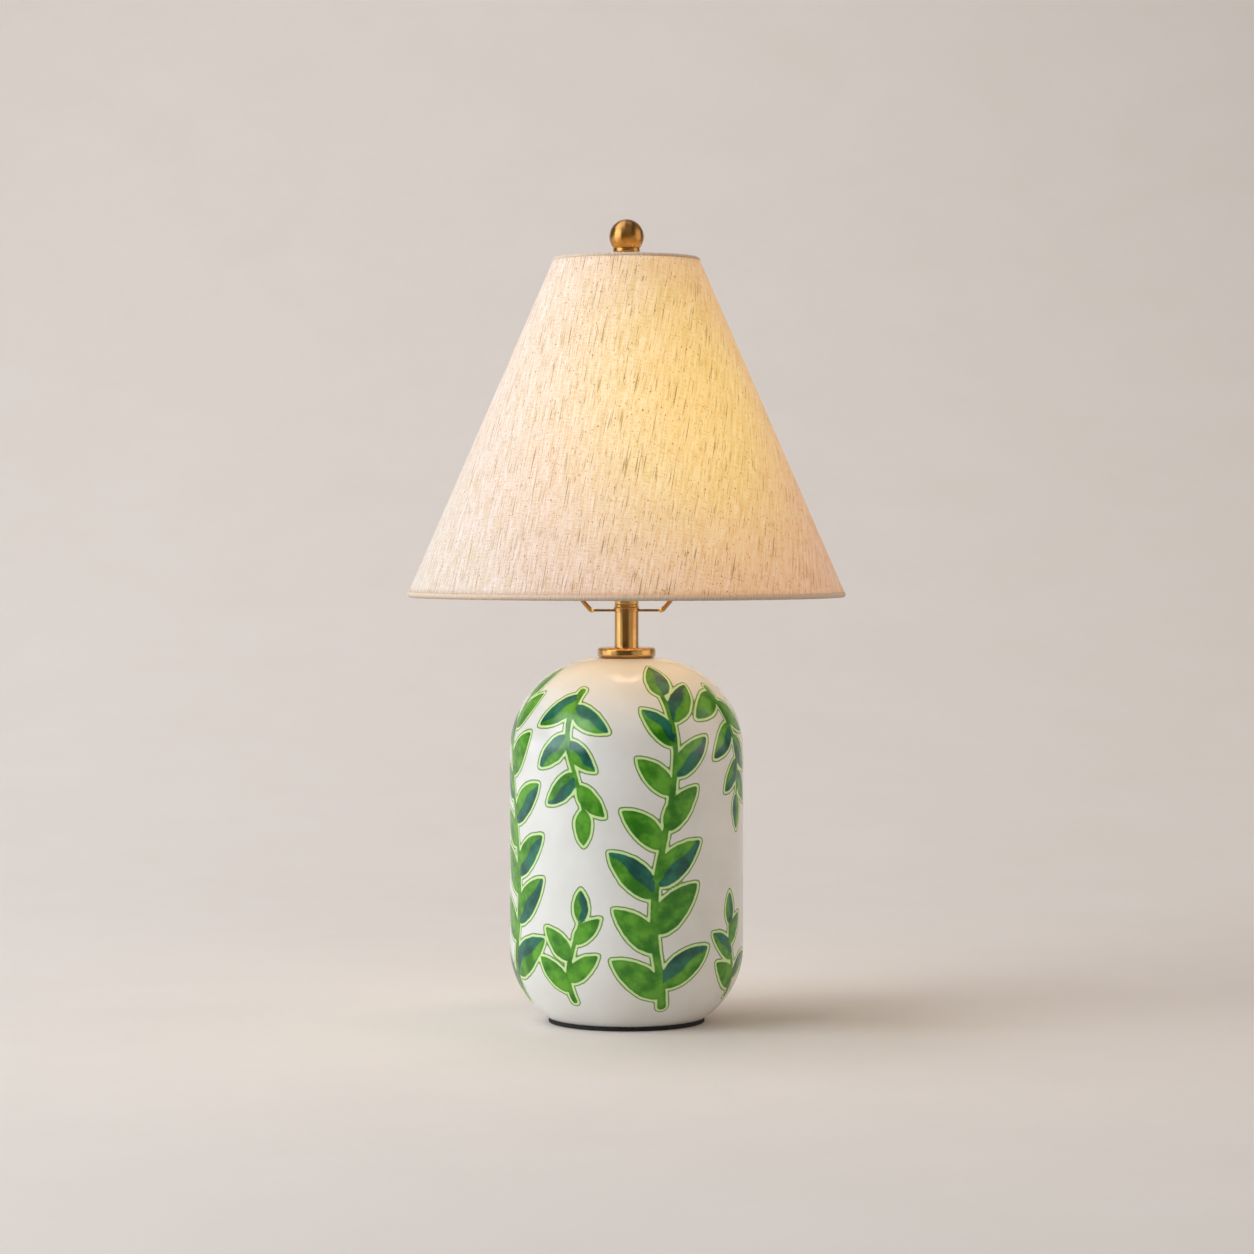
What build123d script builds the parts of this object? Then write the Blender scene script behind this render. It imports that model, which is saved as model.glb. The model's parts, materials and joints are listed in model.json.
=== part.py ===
"""A ceramic table lamp with a cone shade, as the pieces it comes apart into on a bench.

Millimetres, +Z up. The origin is the centre of the foot, on the table. The harp lies in the XZ plane,
the switch knob faces -Y and the cord inlet faces +Y.
"""

import os
from math import asin, atan2, cos, degrees, sin, sqrt, tan

from build123d import *

os.makedirs("parts", exist_ok=True)

# Clearances
PRESS = 0.02        # between pieces that are pressed, glued or screwed together for good
SLIP = 0.15         # between a hole and what passes through it
RUNNING = 0.05      # between a shaft and its bearing
REST_GAP = 0.3      # between a piece that lifts off and its seat
MOVE_GAP = 0.4      # between round faces of pieces that move past each other
LAYER_GAP = 0.1     # between the shade's layers of cloth, backing and wire

# Foot pad and ceramic body
PAD_THICKNESS = 3.0
FOOT_RADIUS = 54.5
FOOT_WIDTH = 9.0
BODY_RADIUS = 81.5
BODY_HEIGHT = 251.0
BODY_WALL = 6.0
TOP_FLAT_RADIUS = 16.5
HEEL_RADIUS = 59.0
NIPPLE_HOLE_GAP = 0.5

# Cord inlet at the back of the body
CORD_HEIGHT = 30.0
CORD_BORE_RADIUS = 3.5
GROMMET_WALL = 1.8
GROMMET_LIP = 2.6
GROMMET_LIP_THICKNESS = 1.6
GROMMET_EDGE = 0.7

# Threaded nipple and what clamps it inside the body
NIPPLE_RADIUS = 5.1
NIPPLE_BORE_RADIUS = 3.25
NIPPLE_TAIL = 4.0
NIPPLE_HEAD = 8.0
CLAMP_WASHER_RADIUS = 13.0
CLAMP_WASHER_THICKNESS = 1.5
LOCK_WASHER_RADIUS = 8.0
LOCK_WASHER_THICKNESS = 1.6
LOCK_WASHER_SLIT = 1.2
CLAMP_NUT_FLATS = 14.3
CLAMP_NUT_THICKNESS = 4.0

# Brass stack above the body
GASKET_RADIUS = 15.0
GASKET_THICKNESS = 0.8
GASKET_PROUD = 0.3
CAP_RADIUS = 20.25
CAP_HEIGHT = 7.0
CAP_EDGE = 2.2
NECK_RADIUS = 8.4
NECK_LENGTH = 25.0
NECK_SEAT_DEPTH = 1.0
NECK_EDGE = 0.4
SADDLE_EYE_RADIUS = 8.95
SADDLE_THICKNESS = 1.6
SADDLE_WIDTH = 8.0
SADDLE_REACH = 25.0
SADDLE_SPAN = 31.0
SADDLE_RISE = 7.0
SADDLE_BEND = 3.0
PRONG_ROOT = 2.0
PRONG_HEIGHT = 8.0
RING_RADIUS = 8.95
RING_HEIGHT = 1.4
RING_EDGE = 0.5
LOCK_NUT_RADIUS = 8.4
LOCK_NUT_HEIGHT = 2.0
LOCK_NUT_EDGE = 0.5

# Lamp socket
BOSS_RADIUS = 8.4
BOSS_HEIGHT = 7.0
BOSS_EDGE = 0.5
CUP_RADIUS = 17.8
CUP_HEIGHT = 19.0
CUP_WALL = 0.9
CUP_FLOOR = 2.6
CUP_EDGE = 2.2
SHELL_WALL = 0.7
SHELL_LENGTH = 56.0
SHELL_LIP = 0.7
SHELL_LIP_HEIGHT = 1.4
SHELL_LIP_EDGE = 0.5
LINER_WALL = 0.8
LINER_SETBACK = 1.6
INTERIOR_HEIGHT = 30.0
SCREW_SHELL_WALL = 0.6
SCREW_SHELL_LENGTH = 24.0
SCREW_SHELL_FLOOR = 0.8
CONTACT_RADIUS = 3.6
CONTACT_HEIGHT = 2.8
CONTACT_EDGE = 1.0
CONTACT_HOLE_GAP = 1.2
TERMINAL_HEIGHT = 8.0
TERMINAL_HEAD_RADIUS = 3.0
TERMINAL_HEAD_THICKNESS = 1.6
TERMINAL_SHANK_RADIUS = 1.5
TERMINAL_SHANK_LENGTH = 4.0
TERMINAL_POCKET_GAP = 1.0
TERMINAL_SETBACK = 0.8

# Rotary switch
SWITCH_HEIGHT = 22.0
SWITCH_SHAFT_RADIUS = 1.9
SWITCH_BEARING_DEPTH = 8.0
SWITCH_PORT_GAP = 0.5
KNOB_STANDOFF = 2.0
KNOB_RADIUS = 6.0
KNOB_LENGTH = 13.0
KNOB_SOCKET_DEPTH = 8.0
KNOB_GROOVES = 16
KNOB_GROOVE_RADIUS = 0.7
KNOB_EDGE = 0.5

# Bulb
BULB_TIP_RADIUS = 4.6
BULB_TIP_HEIGHT = 1.8
BULB_TIP_EDGE = 1.0
BULB_INSULATOR_HEIGHT = 4.2
BULB_THREAD_RADIUS = 13.0
BULB_THREAD_DEPTH = 0.8
BULB_THREAD_PITCH = 3.629
BULB_THREAD_TURNS = 5
BULB_CAP_WALL = 0.5
BULB_SKIRT_HEIGHT = 5.0
BULB_NECK_LENGTH = 1.0
BULB_FLARE_RADIUS = 40.0
BULB_GLASS_RADIUS = 30.0
BULB_GLASS_WALL = 1.0
STEM_PLUG_HEIGHT = 2.0
STEM_CONE_HEIGHT = 14.0
STEM_RADIUS = 3.0
STEM_ROD_RADIUS = 1.2
STEM_DISC_RADIUS = 7.0
STEM_DISC_THICKNESS = 1.2
FILAMENT_RADIUS = 0.9
FILAMENT_CIRCLE = 5.0
FILAMENT_LENGTH = 32.0
FILAMENT_COUNT = 4

# Harp
HARP_HEIGHT = 241.3
HARP_WIRE_RADIUS = 1.6
HARP_HALF_WIDTH = 44.0
HARP_LEG_STRAIGHT = 25.0
HARP_FLARE_HEIGHT = 50.0
HARP_SHOULDER_DROP = 62.0
HARP_CROWN_HALF = 14.0
HARP_FLARE_BEND = 45.0
HARP_WAIST_BEND = 90.0
HARP_SHOULDER_BEND = 45.0
HARP_CROWN_BEND = 11.0
STUD_BLOCK_RADIUS = 5.0
STUD_BLOCK_COVER = 1.6
STUD_FLANGE_RADIUS = 7.6
STUD_FLANGE_THICKNESS = 1.4
STUD_RADIUS = 3.1
STUD_THREAD_LENGTH = 10.0
SLEEVE_WALL = 1.3
SLEEVE_LENGTH = 14.0
SLEEVE_EDGE = 0.5

# Shade
SHADE_HEIGHT = 236.2
SHADE_BOTTOM_RADIUS = 153.3
SHADE_TOP_RADIUS = 50.2
SHADE_DROP = 3.5
COVER_THICKNESS = 0.9
BACKING_THICKNESS = 0.6
SHADE_WIRE_RADIUS = 1.4
HEM_THICKNESS = 0.5
HEM_PROUD = 0.35
HUB_RADIUS = 11.5
HUB_THICKNESS = 1.5
SPIDER_ARM_RADIUS = 1.2
SPIDER_ARMS = 3
SPIDER_HEADING = 90.0

# Finial
COLLAR_HEIGHT = 9.6
COLLAR_TOP_RADIUS = 9.35
COLLAR_TOP_THICKNESS = 3.0
COLLAR_BASE_RADIUS = 8.0
COLLAR_BASE_THICKNESS = 2.4
COLLAR_WAIST_RADIUS = 6.2
COLLAR_EDGE = 0.7
SPIGOT_RADIUS = 4.6
SPIGOT_HEIGHT = 6.0
THREAD_RUNOUT = 1.2
BALL_RADIUS = 12.1
BALL_SEAT_RADIUS = 9.1

# Heights up the lamp's axis
body_top = PAD_THICKNESS + BODY_HEIGHT
cavity_top = body_top - BODY_WALL
cap_bottom = body_top + GASKET_PROUD
cap_top = cap_bottom + CAP_HEIGHT
neck_top = cap_top + NECK_LENGTH
saddle_middle = neck_top + SADDLE_THICKNESS / 2
saddle_top = neck_top + SADDLE_THICKNESS
ring_top = saddle_top + RING_HEIGHT
socket_bottom = ring_top + LOCK_NUT_HEIGHT
cup_bottom = socket_bottom + BOSS_HEIGHT
cup_floor = cup_bottom + CUP_FLOOR
switch_axis = cup_floor + SWITCH_HEIGHT
interior_top = cup_floor + INTERIOR_HEIGHT
contact_top = interior_top + CONTACT_HEIGHT
bulb_seat = contact_top + REST_GAP
bulb_tip_top = bulb_seat + BULB_TIP_HEIGHT
bulb_insulator_top = bulb_tip_top + BULB_INSULATOR_HEIGHT
bulb_thread_top = bulb_insulator_top + BULB_THREAD_TURNS * BULB_THREAD_PITCH
bulb_skirt_top = bulb_thread_top + BULB_SKIRT_HEIGHT
harp_seat = neck_top + HARP_HEIGHT
harp_crown = harp_seat - STUD_FLANGE_THICKNESS - HARP_WIRE_RADIUS - STUD_BLOCK_COVER
hub_top = harp_seat + HUB_THICKNESS
shade_top = hub_top + SHADE_DROP
shade_bottom = shade_top - SHADE_HEIGHT
collar_bottom = hub_top + REST_GAP
collar_top = collar_bottom + COLLAR_HEIGHT

# Radii that follow from a neighbour
nipple_slip = NIPPLE_RADIUS + SLIP
nipple_thread = NIPPLE_RADIUS + PRESS
cup_bore = CUP_RADIUS - CUP_WALL
shell_radius = cup_bore - PRESS
shell_bore = shell_radius - SHELL_WALL
liner_radius = shell_bore - PRESS
liner_bore = liner_radius - LINER_WALL
interior_radius = liner_bore - PRESS
bulb_root_radius = BULB_THREAD_RADIUS - BULB_THREAD_DEPTH
bulb_neck_radius = BULB_THREAD_RADIUS - BULB_CAP_WALL - PRESS


def write(piece, name):
    """Name one finished piece and write it to its own file."""
    piece.part.label = name
    export_step(piece.part, f"parts/{name}.step")


def widest_edges(piece):
    """The circular edges of the largest radius."""
    return piece.edges().filter_by(GeomType.CIRCLE).group_by(SortBy.RADIUS)[-1]


def tube(outer_radius, inner_radius, bottom, height, edge=0.0):
    """A plain ring or tube about the lamp's axis, with its outer edges rounded."""
    with BuildPart() as piece:
        with BuildSketch(Plane.XY.offset(bottom)):
            Circle(outer_radius)
            Circle(inner_radius, mode=Mode.SUBTRACT)
        extrude(amount=height)
        if edge:
            fillet(widest_edges(piece), radius=edge)
    return piece


# Foot pad: a plain disc that closes the open bottom of the body
with BuildPart() as foot_pad:
    with BuildSketch():
        Circle(FOOT_RADIUS)
    extrude(amount=PAD_THICKNESS)
write(foot_pad, "foot_pad")

# The body's outline: a straight wall between a round shoulder and a round heel
shoulder_radius = BODY_RADIUS - TOP_FLAT_RADIUS
shoulder_height = body_top - shoulder_radius
heel_centre = BODY_RADIUS - HEEL_RADIUS
heel_drop = sqrt(HEEL_RADIUS**2 - (FOOT_RADIUS - heel_centre) ** 2)
heel_height = PAD_THICKNESS + heel_drop
heel_angle = degrees(asin(heel_drop / HEEL_RADIUS))
inner_heel = HEEL_RADIUS - BODY_WALL

# The cord inlet stands square to the heel, at the back
inlet_tilt = asin((heel_height - CORD_HEIGHT) / HEEL_RADIUS)
inlet_reach = heel_centre + HEEL_RADIUS * cos(inlet_tilt)
inlet_plane = Plane(
    origin=(0, inlet_reach, CORD_HEIGHT),
    x_dir=(1, 0, 0),
    z_dir=(0, cos(inlet_tilt), -sin(inlet_tilt)),
)
grommet_radius = CORD_BORE_RADIUS + GROMMET_WALL
grommet_lip_radius = grommet_radius + GROMMET_LIP
girth_radius = inlet_reach / cos(inlet_tilt)
outer_seat = girth_radius - sqrt(girth_radius**2 - grommet_radius**2)
inner_seat = HEEL_RADIUS - sqrt(inner_heel**2 - grommet_lip_radius**2)

# Ceramic body: a slip-cast vessel of even wall, open at the foot, with one hole in its top
with BuildPart() as ceramic_body:
    with BuildSketch(Plane.XZ):
        with BuildLine():
            Polyline((0, body_top), (0, PAD_THICKNESS), (FOOT_RADIUS, PAD_THICKNESS))
            CenterArc((heel_centre, heel_height), HEEL_RADIUS, -heel_angle, heel_angle)
            Line((BODY_RADIUS, heel_height), (BODY_RADIUS, shoulder_height))
            CenterArc((TOP_FLAT_RADIUS, shoulder_height), shoulder_radius, 0, 90)
            Line((TOP_FLAT_RADIUS, body_top), (0, body_top))
        make_face()
    revolve(axis=Axis.Z)
    with BuildSketch(Plane.XZ):
        with BuildLine():
            CenterArc((heel_centre, heel_height), inner_heel, -90, 90)
            Line((BODY_RADIUS - BODY_WALL, heel_height), (BODY_RADIUS - BODY_WALL, shoulder_height))
            CenterArc((TOP_FLAT_RADIUS, shoulder_height), shoulder_radius - BODY_WALL, 0, 90)
            Polyline(
                (TOP_FLAT_RADIUS, cavity_top),
                (0, cavity_top),
                (0, heel_height - inner_heel),
                (heel_centre, heel_height - inner_heel),
            )
        make_face()
    revolve(axis=Axis.Z, mode=Mode.SUBTRACT)
    with BuildSketch(Plane.XY.offset(PAD_THICKNESS)):
        Circle(FOOT_RADIUS - FOOT_WIDTH)
    extrude(amount=BODY_WALL, mode=Mode.SUBTRACT)
    with BuildSketch(Plane.XY.offset(body_top)):
        Circle(NIPPLE_RADIUS + NIPPLE_HOLE_GAP)
    extrude(amount=-BODY_WALL, mode=Mode.SUBTRACT)
    with BuildSketch(inlet_plane):
        Circle(grommet_radius + PRESS)
    extrude(amount=inner_seat, both=True, mode=Mode.SUBTRACT)
write(ceramic_body, "ceramic_body")

# Cord grommet: a rubber bush with a lip on each side of the wall
with BuildPart() as cord_grommet:
    with BuildSketch(inlet_plane.offset(-outer_seat)):
        Circle(grommet_lip_radius)
    extrude(amount=GROMMET_LIP_THICKNESS)
    fillet(cord_grommet.edges().sort_by(Axis.Y)[-1], radius=GROMMET_EDGE)
    with BuildSketch(inlet_plane.offset(-outer_seat)):
        Circle(grommet_radius)
    extrude(amount=outer_seat - inner_seat)
    with BuildSketch(inlet_plane.offset(-inner_seat)):
        Circle(grommet_lip_radius)
    extrude(amount=-GROMMET_LIP_THICKNESS)
    with Locations(inlet_plane.offset(GROMMET_LIP_THICKNESS - outer_seat)):
        Hole(CORD_BORE_RADIUS)
write(cord_grommet, "cord_grommet")

# Clamp under the body's top: washer, split lock washer and hexagon nut on the nipple
clamp_washer_bottom = cavity_top - CLAMP_WASHER_THICKNESS
lock_washer_bottom = clamp_washer_bottom - LOCK_WASHER_THICKNESS
clamp_nut_bottom = lock_washer_bottom - CLAMP_NUT_THICKNESS
nipple_bottom = clamp_nut_bottom - NIPPLE_TAIL
nipple_top = socket_bottom + NIPPLE_HEAD

clamp_washer = tube(CLAMP_WASHER_RADIUS, nipple_slip, clamp_washer_bottom, CLAMP_WASHER_THICKNESS)
write(clamp_washer, "clamp_washer")

with BuildPart() as lock_washer:
    with BuildSketch(Plane.XY.offset(lock_washer_bottom)):
        Circle(LOCK_WASHER_RADIUS)
        Circle(nipple_slip, mode=Mode.SUBTRACT)
        with Locations((LOCK_WASHER_RADIUS, 0)):
            Rectangle(2 * LOCK_WASHER_RADIUS, LOCK_WASHER_SLIT, mode=Mode.SUBTRACT)
    extrude(amount=LOCK_WASHER_THICKNESS)
write(lock_washer, "lock_washer")

with BuildPart() as clamp_nut:
    with BuildSketch(Plane.XY.offset(clamp_nut_bottom)):
        RegularPolygon(CLAMP_NUT_FLATS / 2, 6, major_radius=False)
        Circle(nipple_thread, mode=Mode.SUBTRACT)
    extrude(amount=CLAMP_NUT_THICKNESS)
write(clamp_nut, "clamp_nut")

threaded_nipple = tube(NIPPLE_RADIUS, NIPPLE_BORE_RADIUS, nipple_bottom, nipple_top - nipple_bottom)
write(threaded_nipple, "threaded_nipple")

# Seat gasket: a rubber washer, let into the underside of the vase cap
seat_gasket = tube(GASKET_RADIUS, nipple_slip, body_top, GASKET_THICKNESS)
write(seat_gasket, "seat_gasket")

# Vase cap: a turned disc with round edges, recessed for the gasket and for the neck
with BuildPart() as vase_cap:
    with BuildSketch(Plane.XY.offset(cap_bottom)):
        Circle(CAP_RADIUS)
    extrude(amount=CAP_HEIGHT)
    fillet(widest_edges(vase_cap), radius=CAP_EDGE)
    with BuildSketch(Plane.XY.offset(cap_bottom)):
        Circle(GASKET_RADIUS + SLIP)
    extrude(amount=GASKET_THICKNESS - GASKET_PROUD, mode=Mode.SUBTRACT)
    with BuildSketch(Plane.XY.offset(cap_top)):
        Circle(NECK_RADIUS + SLIP)
    extrude(amount=-NECK_SEAT_DEPTH, mode=Mode.SUBTRACT)
    with Locations((0, 0, cap_top)):
        Hole(nipple_slip)
write(vase_cap, "vase_cap")

neck_bottom = cap_top - NECK_SEAT_DEPTH
neck_tube = tube(NECK_RADIUS, nipple_slip, neck_bottom, neck_top - neck_bottom, NECK_EDGE)
write(neck_tube, "neck_tube")

# Harp saddle: a flat strip with an eye, whose two arms bend up into prongs for the harp
prong_foot = saddle_middle + SADDLE_RISE
prong_top = prong_foot + PRONG_HEIGHT
with BuildPart() as harp_saddle:
    with BuildSketch(Plane.XY.offset(neck_top)):
        Circle(SADDLE_EYE_RADIUS)
        SlotOverall(2 * SADDLE_REACH, SADDLE_WIDTH)
        Circle(nipple_slip, mode=Mode.SUBTRACT)
    extrude(amount=SADDLE_THICKNESS)
    for side in (-1, 1):
        with BuildLine(Plane.XZ) as prong_path:
            FilletPolyline(
                (side * (SADDLE_REACH - PRONG_ROOT), saddle_middle),
                (side * SADDLE_REACH, saddle_middle),
                (side * SADDLE_SPAN, prong_foot),
                (side * SADDLE_SPAN, prong_top),
                radius=[SADDLE_BEND, SADDLE_BEND],
            )
        with BuildSketch(Plane(origin=prong_path.line @ 0, z_dir=prong_path.line % 0)):
            Circle(HARP_WIRE_RADIUS)
        sweep(path=prong_path.line)
write(harp_saddle, "harp_saddle")

saddle_ring = tube(RING_RADIUS, nipple_slip, saddle_top, RING_HEIGHT, RING_EDGE)
write(saddle_ring, "saddle_ring")

lock_nut = tube(LOCK_NUT_RADIUS, nipple_thread, ring_top, LOCK_NUT_HEIGHT, LOCK_NUT_EDGE)
write(lock_nut, "lock_nut")

# Socket cap: a threaded boss under a thin cup
with BuildPart() as socket_cap:
    with BuildSketch(Plane.XY.offset(socket_bottom)):
        Circle(BOSS_RADIUS)
    extrude(amount=BOSS_HEIGHT)
    fillet(socket_cap.edges().sort_by(Axis.Z)[0], radius=BOSS_EDGE)
    with BuildSketch(Plane.XY.offset(cup_bottom)):
        Circle(CUP_RADIUS)
    extrude(amount=CUP_HEIGHT)
    fillet(widest_edges(socket_cap).sort_by(Axis.Z)[0], radius=CUP_EDGE)
    with BuildSketch(Plane.XY.offset(cup_floor)):
        Circle(cup_bore)
    extrude(amount=CUP_HEIGHT, mode=Mode.SUBTRACT)
    with Locations((0, 0, cup_floor)):
        Hole(nipple_thread)
write(socket_cap, "socket_cap")

# The switch shaft leaves the socket towards -Y, square to the harp
switch_plane = Plane(origin=(0, 0, switch_axis), x_dir=(1, 0, 0), z_dir=(0, -1, 0))
switch_port_radius = SWITCH_SHAFT_RADIUS + SWITCH_PORT_GAP
bearing_bottom = interior_radius - SWITCH_BEARING_DEPTH

# Socket shell: a thin tube with a rolled lip and a port for the switch shaft
shell_top = cup_floor + SHELL_LENGTH
with BuildPart() as socket_shell:
    with BuildSketch(Plane.XY.offset(cup_floor)):
        Circle(shell_radius)
    extrude(amount=SHELL_LENGTH)
    with BuildSketch(Plane.XY.offset(shell_top)):
        Circle(shell_radius + SHELL_LIP)
    extrude(amount=-SHELL_LIP_HEIGHT)
    fillet(widest_edges(socket_shell), radius=SHELL_LIP_EDGE)
    with Locations((0, 0, shell_top)):
        Hole(shell_bore)
    with BuildSketch(switch_plane):
        Circle(switch_port_radius)
    extrude(amount=CUP_RADIUS, mode=Mode.SUBTRACT)
write(socket_shell, "socket_shell")

# Socket liner: an insulating tube inside the shell
with BuildPart() as socket_liner:
    with BuildSketch(Plane.XY.offset(cup_floor)):
        Circle(liner_radius)
        Circle(liner_bore, mode=Mode.SUBTRACT)
    extrude(amount=SHELL_LENGTH - LINER_SETBACK)
    with BuildSketch(switch_plane):
        Circle(switch_port_radius)
    extrude(amount=CUP_RADIUS, mode=Mode.SUBTRACT)
write(socket_liner, "socket_liner")

# Socket interior: an insulating block with the switch bearing and two terminal pockets
terminal_height = cup_floor + TERMINAL_HEIGHT
terminal_face = interior_radius - TERMINAL_HEAD_THICKNESS - TERMINAL_SETBACK
terminal_pocket = 2 * (TERMINAL_HEAD_RADIUS + TERMINAL_POCKET_GAP)
terminal_planes = [
    Plane(origin=(side * terminal_face, 0, terminal_height), x_dir=(0, 1, 0), z_dir=(side, 0, 0))
    for side in (-1, 1)
]
with BuildPart() as socket_interior:
    with BuildSketch(Plane.XY.offset(cup_floor)):
        Circle(interior_radius)
    extrude(amount=INTERIOR_HEIGHT)
    with BuildSketch(switch_plane.offset(bearing_bottom)):
        Circle(SWITCH_SHAFT_RADIUS + RUNNING)
    extrude(amount=SWITCH_BEARING_DEPTH, mode=Mode.SUBTRACT)
    for plane in terminal_planes:
        with BuildSketch(plane):
            Rectangle(terminal_pocket, terminal_pocket)
        extrude(amount=interior_radius - terminal_face, mode=Mode.SUBTRACT)
        with BuildSketch(plane):
            Circle(TERMINAL_SHANK_RADIUS + PRESS)
        extrude(amount=-TERMINAL_SHANK_LENGTH, mode=Mode.SUBTRACT)
write(socket_interior, "socket_interior")

# Terminal screws: two alike, one on each side
with BuildPart() as terminal_screws:
    for plane in terminal_planes:
        with BuildSketch(plane):
            Circle(TERMINAL_HEAD_RADIUS)
        extrude(amount=TERMINAL_HEAD_THICKNESS)
        with BuildSketch(plane):
            Circle(TERMINAL_SHANK_RADIUS)
        extrude(amount=-TERMINAL_SHANK_LENGTH)
write(terminal_screws, "terminal_screws")

# Screw shell: the threaded sleeve that takes the bulb, with a hole in its floor for the contact
screw_shell_bore = BULB_THREAD_RADIUS + MOVE_GAP
with BuildPart() as screw_shell:
    with BuildSketch(Plane.XY.offset(interior_top)):
        Circle(screw_shell_bore + SCREW_SHELL_WALL)
        Circle(CONTACT_RADIUS + CONTACT_HOLE_GAP, mode=Mode.SUBTRACT)
    extrude(amount=SCREW_SHELL_LENGTH)
    with BuildSketch(Plane.XY.offset(interior_top + SCREW_SHELL_FLOOR)):
        Circle(screw_shell_bore)
    extrude(amount=SCREW_SHELL_LENGTH, mode=Mode.SUBTRACT)
write(screw_shell, "screw_shell")

# Centre contact: a domed stud on the interior block
with BuildPart() as centre_contact:
    with BuildSketch(Plane.XY.offset(interior_top)):
        Circle(CONTACT_RADIUS)
    extrude(amount=CONTACT_HEIGHT)
    fillet(centre_contact.edges().sort_by(Axis.Z)[-1], radius=CONTACT_EDGE)
write(centre_contact, "centre_contact")

# Switch shaft and its ribbed knob
knob_face = shell_radius + KNOB_STANDOFF
shaft_start = bearing_bottom + REST_GAP
shaft_end = knob_face + KNOB_SOCKET_DEPTH
with BuildPart() as switch_shaft:
    with BuildSketch(switch_plane.offset(shaft_start)):
        Circle(SWITCH_SHAFT_RADIUS)
    extrude(amount=shaft_end - shaft_start)
write(switch_shaft, "switch_shaft")

with BuildPart() as switch_knob:
    with BuildSketch(switch_plane.offset(knob_face)):
        Circle(KNOB_RADIUS)
    extrude(amount=KNOB_LENGTH)
    chamfer(widest_edges(switch_knob), length=KNOB_EDGE)
    with BuildSketch(switch_plane.offset(knob_face)):
        with PolarLocations(KNOB_RADIUS, KNOB_GROOVES):
            Circle(KNOB_GROOVE_RADIUS)
    extrude(amount=KNOB_LENGTH, mode=Mode.SUBTRACT)
    with BuildSketch(switch_plane.offset(knob_face)):
        Circle(SWITCH_SHAFT_RADIUS + PRESS)
    extrude(amount=KNOB_SOCKET_DEPTH, mode=Mode.SUBTRACT)
write(switch_knob, "switch_knob")

# Bulb contact and insulator
with BuildPart() as bulb_contact:
    with BuildSketch(Plane.XY.offset(bulb_seat)):
        Circle(BULB_TIP_RADIUS)
    extrude(amount=BULB_TIP_HEIGHT)
    fillet(bulb_contact.edges().sort_by(Axis.Z)[0], radius=BULB_TIP_EDGE)
write(bulb_contact, "bulb_contact")

with BuildPart() as bulb_insulator:
    with BuildSketch(Plane.XZ):
        Polygon(
            (0, bulb_tip_top),
            (BULB_TIP_RADIUS, bulb_tip_top),
            (bulb_root_radius, bulb_insulator_top),
            (0, bulb_insulator_top),
            align=None,
        )
    revolve(axis=Axis.Z)
write(bulb_insulator, "bulb_insulator")

# Bulb cap: a thin sleeve with a rounded screw form, and a skirt that takes the glass
bulb_cap_bore = bulb_root_radius - BULB_CAP_WALL
bulb_skirt_bore = BULB_THREAD_RADIUS - BULB_CAP_WALL
with BuildPart() as bulb_cap:
    with BuildSketch(Plane.XZ):
        with BuildLine():
            for turn in range(BULB_THREAD_TURNS):
                thread_foot = bulb_insulator_top + turn * BULB_THREAD_PITCH
                ThreePointArc(
                    (bulb_root_radius, thread_foot),
                    (BULB_THREAD_RADIUS, thread_foot + BULB_THREAD_PITCH / 2),
                    (bulb_root_radius, thread_foot + BULB_THREAD_PITCH),
                )
            Polyline(
                (bulb_root_radius, bulb_thread_top),
                (BULB_THREAD_RADIUS, bulb_thread_top),
                (BULB_THREAD_RADIUS, bulb_skirt_top),
                (bulb_skirt_bore, bulb_skirt_top),
                (bulb_skirt_bore, bulb_thread_top + BULB_CAP_WALL),
                (bulb_cap_bore, bulb_thread_top + BULB_CAP_WALL),
                (bulb_cap_bore, bulb_insulator_top),
                (bulb_root_radius, bulb_insulator_top),
            )
        make_face()
    revolve(axis=Axis.Z)
write(bulb_cap, "bulb_cap")

# Bulb glass: a ball that runs into a narrow neck through a hollow flare
flare_height = bulb_skirt_top + BULB_NECK_LENGTH
flare_centre = bulb_neck_radius + BULB_FLARE_RADIUS
ball_lift = sqrt((BULB_FLARE_RADIUS + BULB_GLASS_RADIUS) ** 2 - flare_centre**2)
globe_height = flare_height + ball_lift
flare_turn = degrees(atan2(ball_lift, flare_centre))
glass_bottom = bulb_thread_top + BULB_CAP_WALL + PRESS
with BuildPart() as bulb_glass:
    for inset, combine in ((0, Mode.ADD), (BULB_GLASS_WALL, Mode.SUBTRACT)):
        neck_radius = bulb_neck_radius - inset
        with BuildSketch(Plane.XZ):
            with BuildLine():
                Polyline((0, glass_bottom), (neck_radius, glass_bottom), (neck_radius, flare_height))
                CenterArc((flare_centre, flare_height), BULB_FLARE_RADIUS + inset, 180, -flare_turn)
                CenterArc((0, globe_height), BULB_GLASS_RADIUS - inset, -flare_turn, 90 + flare_turn)
                Line((0, globe_height + BULB_GLASS_RADIUS - inset), (0, glass_bottom))
            make_face()
        revolve(axis=Axis.Z, mode=combine)
write(bulb_glass, "bulb_glass")

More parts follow.
